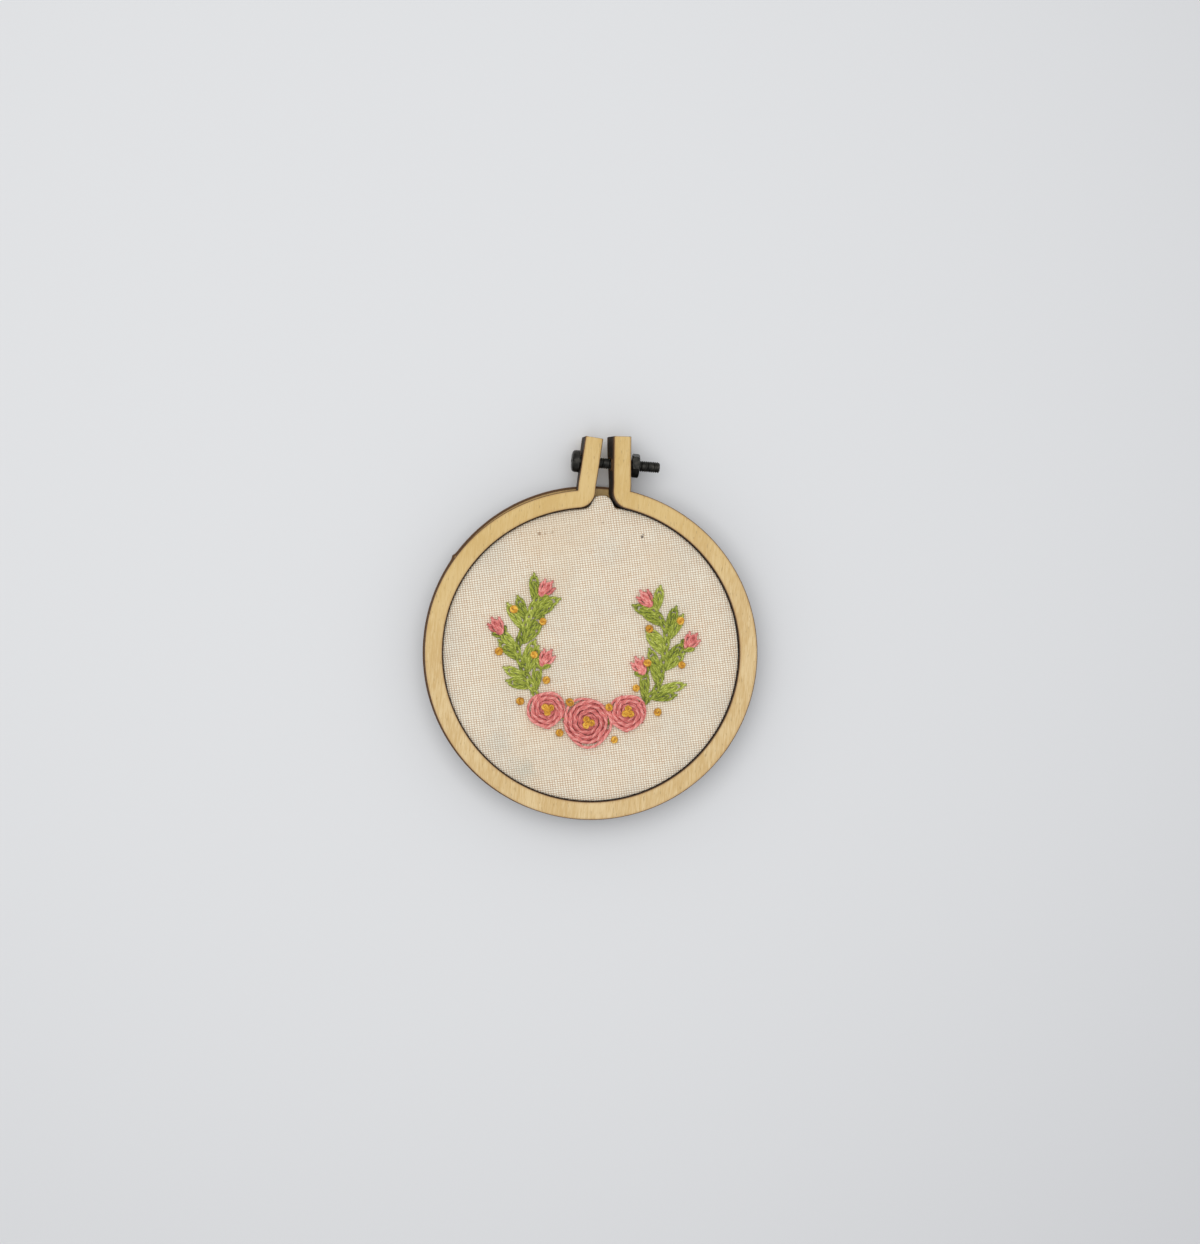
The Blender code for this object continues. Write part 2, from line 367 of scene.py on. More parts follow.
def skin(name, rows, closed, marks=None, sharp_degrees=20):
    """Faces between neighbouring rows of points. Open ends get a cap. Marks are numbers for each point."""
    body = bmesh.new()
    layers = {label: body.verts.layers.float.new(label) for label in (marks or {})}
    grid = []
    for index, row in enumerate(rows):
        grid.append([body.verts.new(point) for point in row])
        for label, layer in layers.items():
            for vert, value in zip(grid[-1], marks[label][index]):
                vert[layer] = value
    pairs = list(zip(grid, grid[1:] + grid[:1])) if closed else list(zip(grid, grid[1:]))
    for here, there in pairs:
        for index in range(len(here)):
            after = (index + 1) % len(here)
            body.faces.new((here[index], here[after], there[after], there[index]))
    if not closed:
        body.faces.new(grid[0])
        body.faces.new(grid[-1])
    bmesh.ops.remove_doubles(body, verts=body.verts, dist=0.000001)
    bmesh.ops.delete(body, geom=[edge for edge in body.edges if not edge.link_faces], context="EDGES")
    bmesh.ops.recalc_face_normals(body, faces=body.faces)
    mesh = bpy.data.meshes.new(name)
    body.to_mesh(mesh)
    body.free()
    return shade(mesh, sharp_degrees)


def turned(name, profile, axis_point, axis, marks=None, segments=96, sharp_degrees=20):
    """Turn a profile of (radius, along) points about an axis. It runs from the axis out and back to it."""
    axis = Vector(axis)
    start = Vector((0, 1, 0)) if abs(axis.y) < 0.5 else Vector((0, 0, 1))
    side = axis.cross(start)
    rows = []
    for step in range(segments):
        turn = 2 * math.pi * step / segments
        outward = start * math.cos(turn) + side * math.sin(turn)
        rows.append([Vector(axis_point) + outward * radius + axis * along for radius, along in profile])
    labels = {label: [values] * segments for label, values in (marks or {}).items()}
    return skin(name, rows, True, labels, sharp_degrees)


def flat_faced(mesh):
    """Split every face into triangles, drop slivers, and leave a mesh whose faces are all flat."""
    body = bmesh.new()
    body.from_mesh(mesh)
    bmesh.ops.dissolve_degenerate(body, edges=body.edges, dist=SLIVER)
    bmesh.ops.triangulate(body, faces=body.faces)
    bmesh.ops.dissolve_degenerate(body, edges=body.edges, dist=SLIVER)
    body.to_mesh(mesh)
    body.free()
    return mesh


def cut_away(mesh, cutters, operation="DIFFERENCE"):
    """Cut one mesh with others, and return the result as a new plain mesh."""
    target = add_piece("blank", flat_faced(mesh))
    tools = [add_piece("cutter", flat_faced(cutter)) for cutter in cutters]
    for tool in tools:
        modifier = target.modifiers.new("cut", "BOOLEAN")
        modifier.operation = operation
        modifier.object = tool
    result = bpy.data.meshes.new_from_object(target.evaluated_get(bpy.context.evaluated_depsgraph_get()))
    for used in [target, *tools]:
        bpy.data.objects.remove(used)
    return flat_faced(result)


def ease(value):
    """Smooth step from 0 to 1, flat at both ends."""
    value = min(max(value, 0.0), 1.0)
    return value * value * (3.0 - 2.0 * value)


def mix(start, end, amount):
    return start + (end - start) * amount


print("mesh helpers ready")

# %% [markdown]
# ## Plywood and its burnt edges
# Laser-cut plywood has two quite different surfaces. Its face is pale veneer, with fine fibres that
# all run one way and a few short dark pores. Its cut wall is burnt nearly black, with the layers of
# the board just visible in it, and the burn creeps a hair's breadth round onto the face. Both are
# one material here: the number `edge` says how far a point is in from the cut, in millimetres, and
# is below zero on the wall itself, and `ply` is the height within the board.

# %% Plywood finish
PLY_THICKNESS = 1.0
CHAR_DARK = srgb(20, 15, 13)
CHAR_BROWN = srgb(62, 43, 29)


def plywood(name, pale, deep, seed, grain_turn=0.0, creep=0.08):
    made = Finish(name, Specular_IOR_Level=0.35)
    across = made.x * math.cos(grain_turn) + made.y * math.sin(grain_turn) + seed
    along = made.y * math.cos(grain_turn) - made.x * math.sin(grain_turn)
    fibre = made.noise(across * 1.9, along * 0.2, made.z, 3.0, 0.6)
    hair = made.noise(across * 6.5, along * 0.55, made.z, 2.0)
    cloud = made.noise(across * 0.16, along * 0.07, made.z, 2.0)
    pores = made.noise(across * 4.2 + 7.0, along * 0.9, made.z, 1.0).ramp(0.66, 0.76)
    tone = (fibre - 0.5) * 1.4 + (hair - 0.5) * 1.7 + (cloud - 0.5) * 1.5 + 0.5
    face = made.colour_mix(tone.ramp(0.0, 1.0), deep, pale)
    golden = (made.y + made.x * -0.35 + (cloud - 0.5) * 30.0).ramp(-8.0, 30.0)
    face = made.colour_mix(golden * 0.5, face, srgb(213, 178, 102))
    face = made.colour_mix(pores * 0.5, face, tuple(channel * 0.55 for channel in deep))

    edge = made.attribute("edge")
    ragged = made.noise(made.x * 5.0, made.y * 5.0, made.z * 5.0, 2.0) - 0.5
    scorch = (edge + ragged * 0.3).ramp(creep + 0.35, creep) * 0.3
    burnt = (edge + ragged * 0.1).ramp(creep, creep - 0.1)
    layer = ((made.attribute("ply") / PLY_THICKNESS) % 1.0 - 0.5).size().ramp(0.34, 0.46)
    soot = made.noise(made.x * 2.5, made.y * 2.5, made.z * 1.2, 3.0)
    wall = made.colour_mix((soot.ramp(0.35, 0.7) * 0.55 + layer * 0.3), CHAR_DARK, CHAR_BROWN)
    face = made.colour_mix(scorch, face, srgb(150, 104, 58))
    wall = made.colour_mix(edge.ramp(-0.34, -0.04) * 0.85, wall, srgb(112, 80, 50))
    roughness = 0.52 + (fibre - 0.5) * 0.2 + burnt * 0.2
    height = (fibre - 0.5) * 0.6 + (hair - 0.5) * 0.5 - pores * 0.6 - layer * burnt * 1.5
    return made.finish(made.colour_mix(burnt, face, wall), roughness, height, bump_mm=0.035)


ring_finish = plywood("ring_plywood", srgb(226, 199, 149), srgb(206, 172, 114), 0.0)
disc_finish = plywood("disc_plywood", srgb(216, 188, 140), srgb(186, 150, 98), 41.0, math.radians(3), 0.42)
plate_finish = plywood("plate_plywood", srgb(220, 192, 144), srgb(190, 155, 102), 83.0, math.radians(90))
print("three plywoods")

# %% [markdown]
# ## The ring and its ears
# The ring is cut from the board in one piece, as a long strip: up one ear, all the way round, and
# down the other ear. Tightening the bolt then pulls the left arm inwards, lifts the right arm, and
# tips and twists both ears. So it is made as that strip: a section, which is a rectangle with
# slightly worn corners, is carried along the plan, and each section takes its share of the bend.

# %% Sections of the ring
RING_WIDTH = 3.3 * MM
OUTER_RADIUS = (ring_high.x - ring_low.x) / 2
OPENING_RADIUS = OUTER_RADIUS - RING_WIDTH
CUT_WIDTH = 3.3 * MM
EAR_TOP = 40.4 * MM
CORNER_RADIUS = 3.2 * MM
RING_STEPS = 90
CORNER_STEPS = 12
EAR_STEPS = 14
WORN_CORNER = 0.1 * MM
BEND_START = math.radians(80)
PITCH_START = math.radians(32)
LEAN_RISE = 3.0 * MM
ARMS = {
    "right": {"side": 1, "bend": 0.10 * MM, "pitch": 6.0, "lean": 3.8, "twist": 11.0},
    "left": {"side": -1, "bend": 0.65 * MM, "pitch": 0.0, "lean": 4.3, "twist": 4.5},
}
FILLET_X = CUT_WIDTH / 2 + CORNER_RADIUS
FILLET_Y = math.sqrt((OPENING_RADIUS + CORNER_RADIUS) ** 2 - FILLET_X ** 2)
CORNER_X = CUT_WIDTH / 2 + RING_WIDTH
CORNER_Y = math.sqrt(OUTER_RADIUS ** 2 - CORNER_X ** 2)


def strip_profile():
    """The board's section: (across, up, edge, ply), from the middle of the face round and back."""
    half = RING_WIDTH / 2
    top = RING_THICKNESS / 2
    worn = WORN_CORNER
    corner = [(half - worn, top), (half - worn * 0.3, top - worn * 0.3), (half, top - worn), (half, 0.0)]
    depths = [0.0, -0.06, -0.12, -0.5]
    quarter = [(0.0, top, half / MM)] + [(x, y, depth) for (x, y), depth in zip(corner, depths)]
    lower = [(x, -y, depth) for x, y, depth in quarter[-2::-1]]
    right_side = quarter + lower
    left_side = [(-x, y, depth) for x, y, depth in right_side[-2:0:-1]]
    return [(x, y, depth, y / MM) for x, y, depth in right_side + left_side]


def on_circle(angle, radius):
    return Vector((math.sin(angle), math.cos(angle), 0)) * radius


def plan_sections():
    """The right-hand half as cut: inner point, outer point, angle round the ring, rise up the ear."""
    inner_root = math.atan2(FILLET_X, FILLET_Y)
    outer_root = math.atan2(CORNER_X, CORNER_Y)
    for step in range(RING_STEPS + 1):
        share = step / RING_STEPS
        angle = mix(math.pi, inner_root, share)
        outer = on_circle(mix(math.pi, outer_root, share), OUTER_RADIUS)
        yield on_circle(angle, OPENING_RADIUS), outer, angle, 0.0
    for step in range(1, CORNER_STEPS):
        turn = mix(math.pi + math.atan2(FILLET_Y, FILLET_X), math.pi, step / CORNER_STEPS)
        outward = Vector((math.cos(turn), math.sin(turn), 0))
        inner = Vector((FILLET_X, FILLET_Y, 0)) + outward * CORNER_RADIUS
        yield inner, Vector((CORNER_X, CORNER_Y, 0)), inner_root, 0.0
    for step in range(EAR_STEPS + 1):
        share = step / EAR_STEPS
        inner = Vector((CUT_WIDTH / 2, mix(FILLET_Y, EAR_TOP - WORN_CORNER, share), 0))
        outer = Vector((CORNER_X, mix(CORNER_Y, EAR_TOP - WORN_CORNER, share), 0))
        yield inner, outer, inner_root, inner.y - FILLET_Y


def bend_of(angle, arm):
    root = math.atan2(FILLET_X, OPENING_RADIUS)
    return arm["bend"] * ease((BEND_START - angle) / (BEND_START - root))


def roll_of(angle, rise, arm):
    root = math.atan2(FILLET_X, OPENING_RADIUS)
    pitch = arm["pitch"] * ease((PITCH_START - angle) / (PITCH_START - root))
    rolled = mix(pitch, arm["twist"], ease(rise / (EAR_TOP - OUTER_RADIUS))) if rise else pitch
    return math.radians(rolled)


def arm_rows(arm, profile):
    """Rows of points for one arm, from the foot of the ring up to the flat top of its ear."""
    side = arm["side"]
    root = Vector((side * (CUT_WIDTH + RING_WIDTH) / 2, OUTER_RADIUS, 0))
    rows, lift, last_x = [], 0.0, 0.0
    for inner, outer, angle, rise in plan_sections():
        inward = Vector((-side * math.sin(angle), -math.cos(angle), 0)) * bend_of(angle, arm)
        lean = math.radians(arm["lean"]) * side * ease(rise / LEAN_RISE)
        tip = Matrix.Translation(root) @ Matrix.Rotation(lean, 4, "Z") @ Matrix.Translation(-root)
        ends = [tip @ Vector((side * end.x, end.y, 0)) + inward for end in (inner, outer)]
        centre = (ends[0] + ends[1]) / 2
        roll = roll_of(angle, rise, arm)
        lift -= math.tan(roll) * (centre.x - last_x)
        last_x = centre.x
        centre.z = (RING_BACK + RING_FRONT) / 2 + lift
        centre.x -= math.sin(roll) * RING_THICKNESS / 2
        turn = Matrix.Rotation(roll, 3, "Y")
        across = (ends[1] - ends[0]) / RING_WIDTH
        rows.append([centre + turn @ (across * x + Vector((0, 0, y))) for x, y, _, _ in profile])
    middle = sum(rows[-1], Vector()) / len(profile)
    onward = tip.to_3x3() @ Vector((0, WORN_CORNER, 0))
    inset = 1 - 2 * WORN_CORNER / RING_WIDTH
    rows.append([middle + (point - middle) * inset + onward for point in rows[-1]])
    return rows


print(len(strip_profile()), "points in each section")

# %% [markdown]
# The two arms meet at the foot of the ring, so one arm's rows are reversed and the other's follow.
# The bolt's hole is cut through both ears afterwards, with a plain round cutter.

# %% Make the ring
HOLE_RADIUS = 1.2 * MM
HOLE_CUTTER = (ring_low.x / 3, ring_high.x / 3)


def round_bar(name, radius, start_x, end_x, segments=48):
    profile = [(0.0, start_x), (radius, start_x), (radius, end_x), (0.0, end_x)]
    return turned(name, profile, (0, BOLT_Y, BOLT_Z), (1, 0, 0), segments=segments)


profile = strip_profile()
left_rows = arm_rows(ARMS["left"], profile)
right_rows = arm_rows(ARMS["right"], profile)
ring_rows = right_rows[:0:-1] + left_rows
edge_marks = [[depth for _, _, depth, _ in profile] for _ in ring_rows]
edge_marks[0] = edge_marks[-1] = [-0.5] * len(profile)
ply_marks = [[ply for _, _, _, ply in profile] for _ in ring_rows]
ring_mesh = skin("ring", ring_rows, False, {"edge": edge_marks, "ply": ply_marks})
ring_mesh = cut_away(ring_mesh, [round_bar("hole", HOLE_RADIUS, *HOLE_CUTTER)])
ring = add_piece("cut_ring", shade(ring_mesh, 20), ring_finish)
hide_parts("outer_ring")
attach(ring, "root")
print("ring has", len(ring_mesh.polygons), "faces")

# %% [markdown]
# ## The backing disc
# The disc is the same board, thinner, and just wider than the ring, so that its burnt edge peeps out
# where the left arm is pulled in. A small nub is left where it was snapped out of its sheet. It is
# turned from a profile, with the nub added as a short rise in the radius.

# %% Make the disc
DISC_STEPS = 360
NUB_ANGLE = math.radians(-59)
NUB_HALF_WIDTH = math.radians(0.9)
NUB_HEIGHT = 0.28 * MM
DISC_RADIUS = disc_high.x
DISC_WORN = 0.08 * MM
RIM_WIDTH = 1 * MM
PLATE_RADIUS = 26.3 * MM
PLATE_ABOVE_HEM = 0.4 * MM
PLATE_BELOW_FACE = 0.52 * MM


def disc_profile(radius, bottom, top):
    """Points from the middle of the underside, out round the rim, to the middle of the upper face."""
    worn = DISC_WORN
    lower = [(0.0, bottom, radius / MM), (radius - 2 * MM, bottom, 2.0), (radius - worn, bottom, 0.0)]
    rim = [(radius, bottom + worn, -0.12), (radius, (bottom + top) / 2, -0.5), (radius, top - worn, -0.12)]
    upper = [(radius - worn, top, 0.0), (radius - 2 * MM, top, 2.0), (0.0, top, radius / MM)]
    return lower + rim + upper


def disc_mesh(name, radius, bottom, top, nub):
    rows, edges, plies = [], [], []
    for step in range(DISC_STEPS):
        angle = 2 * math.pi * step / DISC_STEPS
        away = (angle - NUB_ANGLE + math.pi) % (2 * math.pi) - math.pi
        rise = nub * math.exp(-(away / NUB_HALF_WIDTH) ** 4)
        points = disc_profile(radius, bottom, top)
        row = []
        for reach, z, _ in points:
            at_rim = reach > radius - RIM_WIDTH
            row.append(on_circle(angle, reach + rise * at_rim) + Vector((0, 0, z)))
        rows.append(row)
        edges.append([depth for _, _, depth in points])
        plies.append([z / MM for _, z, _ in points])
    return skin(name, rows, True, {"edge": edges, "ply": plies})


disc_shape = disc_mesh("back_disc", DISC_RADIUS, disc_low.z, disc_high.z, NUB_HEIGHT)
disc = add_piece("back_disc", disc_shape, disc_finish)
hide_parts("backing_disc")
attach(disc, "root")

# The plain plate leaves room for a thick plain cloth. This one comes up against the thin cloth.
plate_bottom = cloth_low.z + PLATE_ABOVE_HEM
plate_top = CLOTH_FRONT - PLATE_BELOW_FACE
plate_shape = disc_mesh("cloth_plate", PLATE_RADIUS, plate_bottom, plate_top, 0.0)
plate = add_piece("cloth_plate", plate_shape, plate_finish)
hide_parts("inner_plate")
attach(plate, "root")
print("disc radius", round(DISC_RADIUS / MM, 2), "mm, plate radius", round(PLATE_RADIUS / MM, 2), "mm")

# %% [markdown]
# ## The stitched picture, as lines first
# Embroidery is thread that follows a line: out of the cloth, along it, and back in. So the picture
# is planned as lines on the cloth, and thread is laid along them later. Here it is a garland, a
# crescent of two leafy stems with three woven roses where they meet. It uses old, common stitches:
# chain stitch for stems, detached chain for leaves and buds, woven wheels for roses, French knots
# for berries. `Stitches` collects the lines, with a shade for each, and every place where a needle
# went through, because the cloth dimples there.

# %% Collecting stitches
random = np.random.default_rng(7)
needle_holes = []
CROSSING_REACH = 0.5
CROSSING_LIFT = 0.5


class Stitches:
    """Lines of thread of one colour. Heights are measured from the face of the cloth."""

    def __init__(self, *below):
        self.points = []
        self.edges = []
        self.shades = []
        self.below = below

    def laid_over(self, points):
        """Raise a line where it crosses thread that is already there, and ease it up and down again."""
        lifted = np.array(points, float)
        for under in self.below:
            if not under.points:
                continue
            there = np.array(under.points)
            away = np.hypot(lifted[:, None, 0] - there[:, 0], lifted[:, None, 1] - there[:, 1])
            tops = np.where(away < CROSSING_REACH, there[:, 2], -1.0).max(axis=1)
            lifted[:, 2] = np.where(tops > 0, np.maximum(lifted[:, 2], tops + CROSSING_LIFT), lifted[:, 2])
        if len(lifted) > 4:
            lifted[1:-1, 2] = (lifted[:-2, 2] + 2 * lifted[1:-1, 2] + lifted[2:, 2]) / 4
        return [tuple(float(value) for value in point) for point in lifted]

    def line(self, points, shade_of=None, pierced=True):
        """Add one thread line of (x, y, height) points, in millimetres."""
        points = self.laid_over(points) if self.below else points
        first = len(self.points)
        tone = random.uniform(0.0, 1.0) if shade_of is None else shade_of
        self.points.extend(points)
        self.shades.extend([tone] * len(points))
        self.edges.extend((index, index + 1) for index in range(first, len(self.points) - 1))
        if pierced:
            needle_holes.extend([points[0][:2], points[-1][:2]])

    def mesh(self, name):
        made = bpy.data.meshes.new(name)
        raised = [Vector((x, y, z + CLOTH_FRONT / MM)) * MM for x, y, z in self.points]
        made.from_pydata(raised, self.edges, [])
        tones = made.attributes.new("tone", "FLOAT", "POINT")
        tones.data.foreach_set("value", self.shades)
        return made


def turned_point(start, heading, along, aside):
    """A point some way along a heading, in radians from +X, and some way to its left."""
    x = start[0] + along * math.cos(heading) - aside * math.sin(heading)
    y = start[1] + along * math.sin(heading) + aside * math.cos(heading)
    return x, y


def straight_stitch(stitches, start, heading, length, height=0.34, tone=None):
    """Thread straight from one hole to the next, a little humped."""
    points = []
    for step in range(9):
        share = step / 8
        hump = math.sin(math.pi * share)
        x, y = turned_point(start, heading, length * share, 0.0)
        points.append((x, y, height * hump ** 0.45 - 0.12))
    stitches.line(points, tone)


def loop_stitch(stitches, start, heading, length, width, height=0.3, anchored=True, tone=None):
    """Detached chain: a teardrop loop that starts and ends in one hole, held down at its tip."""
    points = []
    steps = 22
    for step in range(steps + 1):
        share = step / steps
        turn = 2 * math.pi * share
        along = length * (1 - math.cos(turn)) / 2
        aside = width / 2 * math.sin(turn) * (0.55 + 0.45 * (1 - math.cos(turn)) / 2)
        x, y = turned_point(start, heading, along, aside)
        rise = min(1.0, 5 * min(share, 1 - share))
        points.append((x, y, height * rise - 0.12))
    stitches.line(points, tone)
    if anchored:
        tip = turned_point(start, heading, length - 0.45, 0.0)
        straight_stitch(stitches, tip, heading, 0.95, height + 0.22, tone=tone)


def chain_row(stitches, path, link, width):
    """Chain stitch: a row of loops, each starting inside the tip of the last one."""
    for here, there in zip(path, path[1:]):
        heading = math.atan2(there[1] - here[1], there[0] - here[0])
        heading += random.uniform(-0.06, 0.06)
        length = math.hypot(there[0] - here[0], there[1] - here[1]) + link
        wide = width * random.uniform(0.9, 1.1)
        loop_stitch(stitches, here, heading, length, wide, height=0.34, anchored=False)


def knot(stitches, place, radius=0.5, turns=2.2, height=0.75):
    """French knot: thread wound round itself, dipping into its own middle."""
    start = random.uniform(0, 2 * math.pi)
    points = []
    steps = 34
    for step in range(steps + 1):
        share = step / steps
        turn = start + 2 * math.pi * turns * share
        wide = radius * (1.0 - 0.28 * share) * min(1.0, 6 * (1 - share) + 0.25)
        x, y = turned_point(place, turn, wide, 0.0)
        points.append((x, y, 0.1 + height * share ** 0.8))
    points.append((place[0], place[1], 0.25))
    stitches.line(points, random.uniform(0.4, 1.0), pierced=False)
    needle_holes.append(place)


print("stitches: straight, loop, chain row, knot")

# %% [markdown]
# ## Woven roses
# A woven wheel is made on five spokes of thread. The needle goes round and round, over one spoke and
# under the next, from the middle outwards, until the spokes are covered. So its line is a spiral
# whose height rises and falls five times in two turns, on top of a low mound, and whose tone is painted
# lighter where it rides high and darker where it dips. A spiral below it, a padding stitch drawn in the
# darkest tone as painted shade, fills the middle so that no cloth shows between the turns.

# %% Rose and garland
ROSE_PITCH = 0.45
UNDERLAY_PITCH = 0.55


def rose_padding(stitches, centre, radius):
    """A low spiral under the woven one, in the darkest tone: painted shade between the turns."""
    padding = []
    for step in range(int(radius * 40)):
        turn = 2 * math.pi * step / 20
        wide = min(0.2 + UNDERLAY_PITCH * step / 20, radius * 0.9)
        if wide == radius * 0.9:
            break
        low = 0.1 + 0.45 * math.sqrt(1 - 0.8 * (wide / radius) ** 2)
        padding.append((*turned_point(centre, turn, wide, 0.0), low))
    # The darkest tone here is painted shade for the gaps between the woven turns.
    stitches.line(padding, 0.05)


def rose(stitches, centre, radius, heart):
    """Spokes first, then the spiral. The inner turns are darker, by the amount in heart."""
    start = random.uniform(0, 2 * math.pi)
    for spoke in range(5):
        straight_stitch(stitches, centre, start + 2 * math.pi * spoke / 5, radius, 0.3, tone=0.3)
    rose_padding(stitches, centre, radius)
    turns = radius / ROSE_PITCH
    steps = int(turns * 26)
    points = []
    for step in range(steps + 1):
        turn = 2 * math.pi * turns * step / steps
        wide = ROSE_PITCH * turn / (2 * math.pi) + 0.12
        uneven = 1 + 0.06 * math.sin(2.5 * turn + start) + 0.02 * math.sin(5 * turn)
        share = min(wide / radius, 1.0)
        mound = 0.85 * math.sqrt(1 - 0.86 * share ** 2)
        weave = 0.27 * math.sin(2.5 * turn) * min(1.0, 4 * share)
        x, y = turned_point(centre, turn + start, wide * uneven, 0.0)
        points.append((x, y, 0.12 + mound + weave * (0.6 + 0.4 * share)))
    first = len(stitches.points)
    stitches.line(points, 0.5)
    for index in range(first, len(stitches.shades)):
        share = (index - first) / max(1, len(points) - 1)
        turn = 2 * math.pi * turns * share
        # Lighter where the spiral rides high over a spoke, darker where it dips under: painted light and
        # shade that follow the weave.
        weave_light = 0.5 + 0.5 * math.sin(2.5 * turn)
        paler_outwards = (0.12 + 0.75 * share ** 0.6) * (1 - heart * (1 - share))
        stitches.shades[index] = min(1.1, paler_outwards + 0.5 * weave_light - 0.15)


GARLAND_CENTRE = (0.3, 0.8)
GARLAND_RADIUS = 13.6
GARLAND_END = 128
LEAF_LENGTH = 4.5
FOOT_ROSE = 4.5
SIDE_ROSE = 3.35
SIDE_ROSE_DEGREES = 33
LEAF_STARTS = 50
LEAF_PAIRS = 7
CHAIN_LINKS = 17
CHAIN_LINK = 0.8
CHAIN_WIDTH = 1.05
HEART_SPREAD = 0.62
HEART_KNOT = 0.45


def garland_point(degrees, outward=0.0):
    """A point on the crescent. Degrees are measured from its foot, positive to the right."""
    angle = math.radians(degrees - 90)
    wave = 0.35 * math.sin(math.radians(degrees * 7.5))
    reach = GARLAND_RADIUS + wave + outward
    return GARLAND_CENTRE[0] + reach * math.cos(angle), GARLAND_CENTRE[1] + reach * math.sin(angle)


def leaf(stitches, degrees, outward, side):
    """A leaf leans away from the stem and points on along it: a loop with a stitch in its middle."""
    root = garland_point(degrees, outward * 0.35)
    heading = math.radians(degrees - 90) + side * math.pi / 2 - outward * side * math.radians(42)
    heading += random.uniform(-0.12, 0.12)
    length = LEAF_LENGTH * random.uniform(0.88, 1.08)
    tone = random.uniform(0.25, 0.95)
    loop_stitch(stitches, root, heading, length, 1.75, 0.32, tone=tone)
    vein = turned_point(root, heading, 0.55, 0.0)
    loop_stitch(stitches, vein, heading, length * 0.62, 0.72, 0.36, False, tone - 0.12)


def bud(pink, green, degrees, outward, side, reach):
    """Three pink loops, one over two, with green stitches cupping their foot."""
    root = garland_point(degrees, outward)
    heading = math.radians(degrees - 90) + side * math.pi / 2 - math.copysign(reach, outward) * side
    for spread, length in ((-0.42, 2.5), (0.42, 2.5), (0.0, 2.9)):
        tone = random.uniform(0.35, 1.0)
        loop_stitch(pink, root, heading + spread, length, 1.15, 0.36 + 0.2 * (spread == 0.0), tone=tone)
        middle = turned_point(root, heading, 0.4, 0.0)
        straight_stitch(pink, middle, heading + spread, length - 0.9, 0.6, tone=tone)
    for spread in (-0.75, 0.75):
        foot = turned_point(root, heading, -0.6, 0.0)
        loop_stitch(green, foot, heading + spread, 1.9, 0.62, 0.42, False)


green = Stitches()
pink = Stitches(green)
yellow = Stitches(green, pink)
for side in (-1, 1):
    stops = np.linspace(14, GARLAND_END, CHAIN_LINKS) * side
    chain_row(green, [garland_point(stop) for stop in stops], CHAIN_LINK, CHAIN_WIDTH)
    for index, stop in enumerate(np.linspace(LEAF_STARTS, GARLAND_END - 7, LEAF_PAIRS) * side):
        leaf(green, stop, 1 if index % 2 else -1, side)
        leaf(green, stop + 4.5 * side, -1 if index % 2 else 1, side)
    bud(pink, green, (GARLAND_END + 3) * side, 0.01, side, 0.05)
    bud(pink, green, 95 * side, 3.6, side, 0.7)
    bud(pink, green, 68 * side, -3.4, side, 0.9)
    rose(pink, garland_point(SIDE_ROSE_DEGREES * side, 0.2), SIDE_ROSE, 0.45)
rose(pink, garland_point(0, -0.1), FOOT_ROSE, 0.5)
berries = [(17.5, 3.4), (19.5, -2.6), (50, 3.1), (52, -3.0), (80, -2.9), (84, 3.5), (112, 3.1), (114, -2.8)]
for side in (-1, 1):
    for degrees, outward in berries:
        knot(yellow, garland_point(degrees * side, outward), random.uniform(0.48, 0.6))
for heart in (0, SIDE_ROSE_DEGREES, -SIDE_ROSE_DEGREES):
    middle = garland_point(heart, 0.05)
    for turn in range(3):
        angle = 2 * math.pi * turn / 3 + heart
        knot(yellow, turned_point(middle, angle, HEART_SPREAD, 0.0), HEART_KNOT, height=0.5)
print(len(pink.points), "pink,", len(green.points), "green and", len(yellow.points), "yellow points")

# %% [markdown]
# ## The cloth
# On the real hoop the cloth is stretched over the plate, pressed against the inside of the ring, and
# turned under to a hem. It could be simulated, but a cloth held tight all round has a known shape,
# so its height is worked out directly on a fine polar grid: flat, with slow ripples, small dimples
# where thread pulls through, and a rounded edge. Between the ears the ring curves away, and the
# cloth swells a little into the gap. How far it may go at each angle is read from the plain cloth.

# %% Shape of the cloth
CLOTH_THICKNESS = 0.3 * MM
HEM_RADIUS = 21 * MM
EDGE_ROUND = 0.33 * MM
AROUND_STEPS = 400
ACROSS_STEPS = 70
TIGHT = 0.28 * MM
SWELL_ANGLE = math.radians(8)


def reach_by_angle():
    """Outer radius of the plain cloth at each angle, from +Y towards +X. The caller lets it out to touch
    the ring.
    """
    corners = np.array([vertex.co[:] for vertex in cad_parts["embroidered_cloth"].data.vertices])
    angles = np.arctan2(corners[:, 0], corners[:, 1])
    reach = np.hypot(corners[:, 0], corners[:, 1])
    bins = np.linspace(-math.pi, math.pi, 181)
    known = []
    for low, high in zip(bins, bins[1:]):
        inside = (angles >= low) & (angles < high)
        known.append(reach[inside].max() if inside.any() else np.nan)
    centres = (bins[:-1] + bins[1:]) / 2
    known = np.array(known)
    good = ~np.isnan(known)
    return lambda angle: float(np.interp(angle, centres[good], known[good], period=2 * math.pi))


def cloth_height(x, y):
    """Height of the cloth's face, in millimetres above its flat level: slow ripples and dimples."""
    ripple = 0.03 * math.sin(0.31 * x + 0.12 * y + 0.6) + 0.025 * math.sin(0.21 * y - 0.17 * x)
    holes = np.array(needle_holes)
    square = (holes[:, 0] - x) ** 2 + (holes[:, 1] - y) ** 2
    dimple = 0.1 * min(1.0, float(np.exp(-square / (2 * 0.35 ** 2)).sum()))
    return ripple - 0.055 - dimple


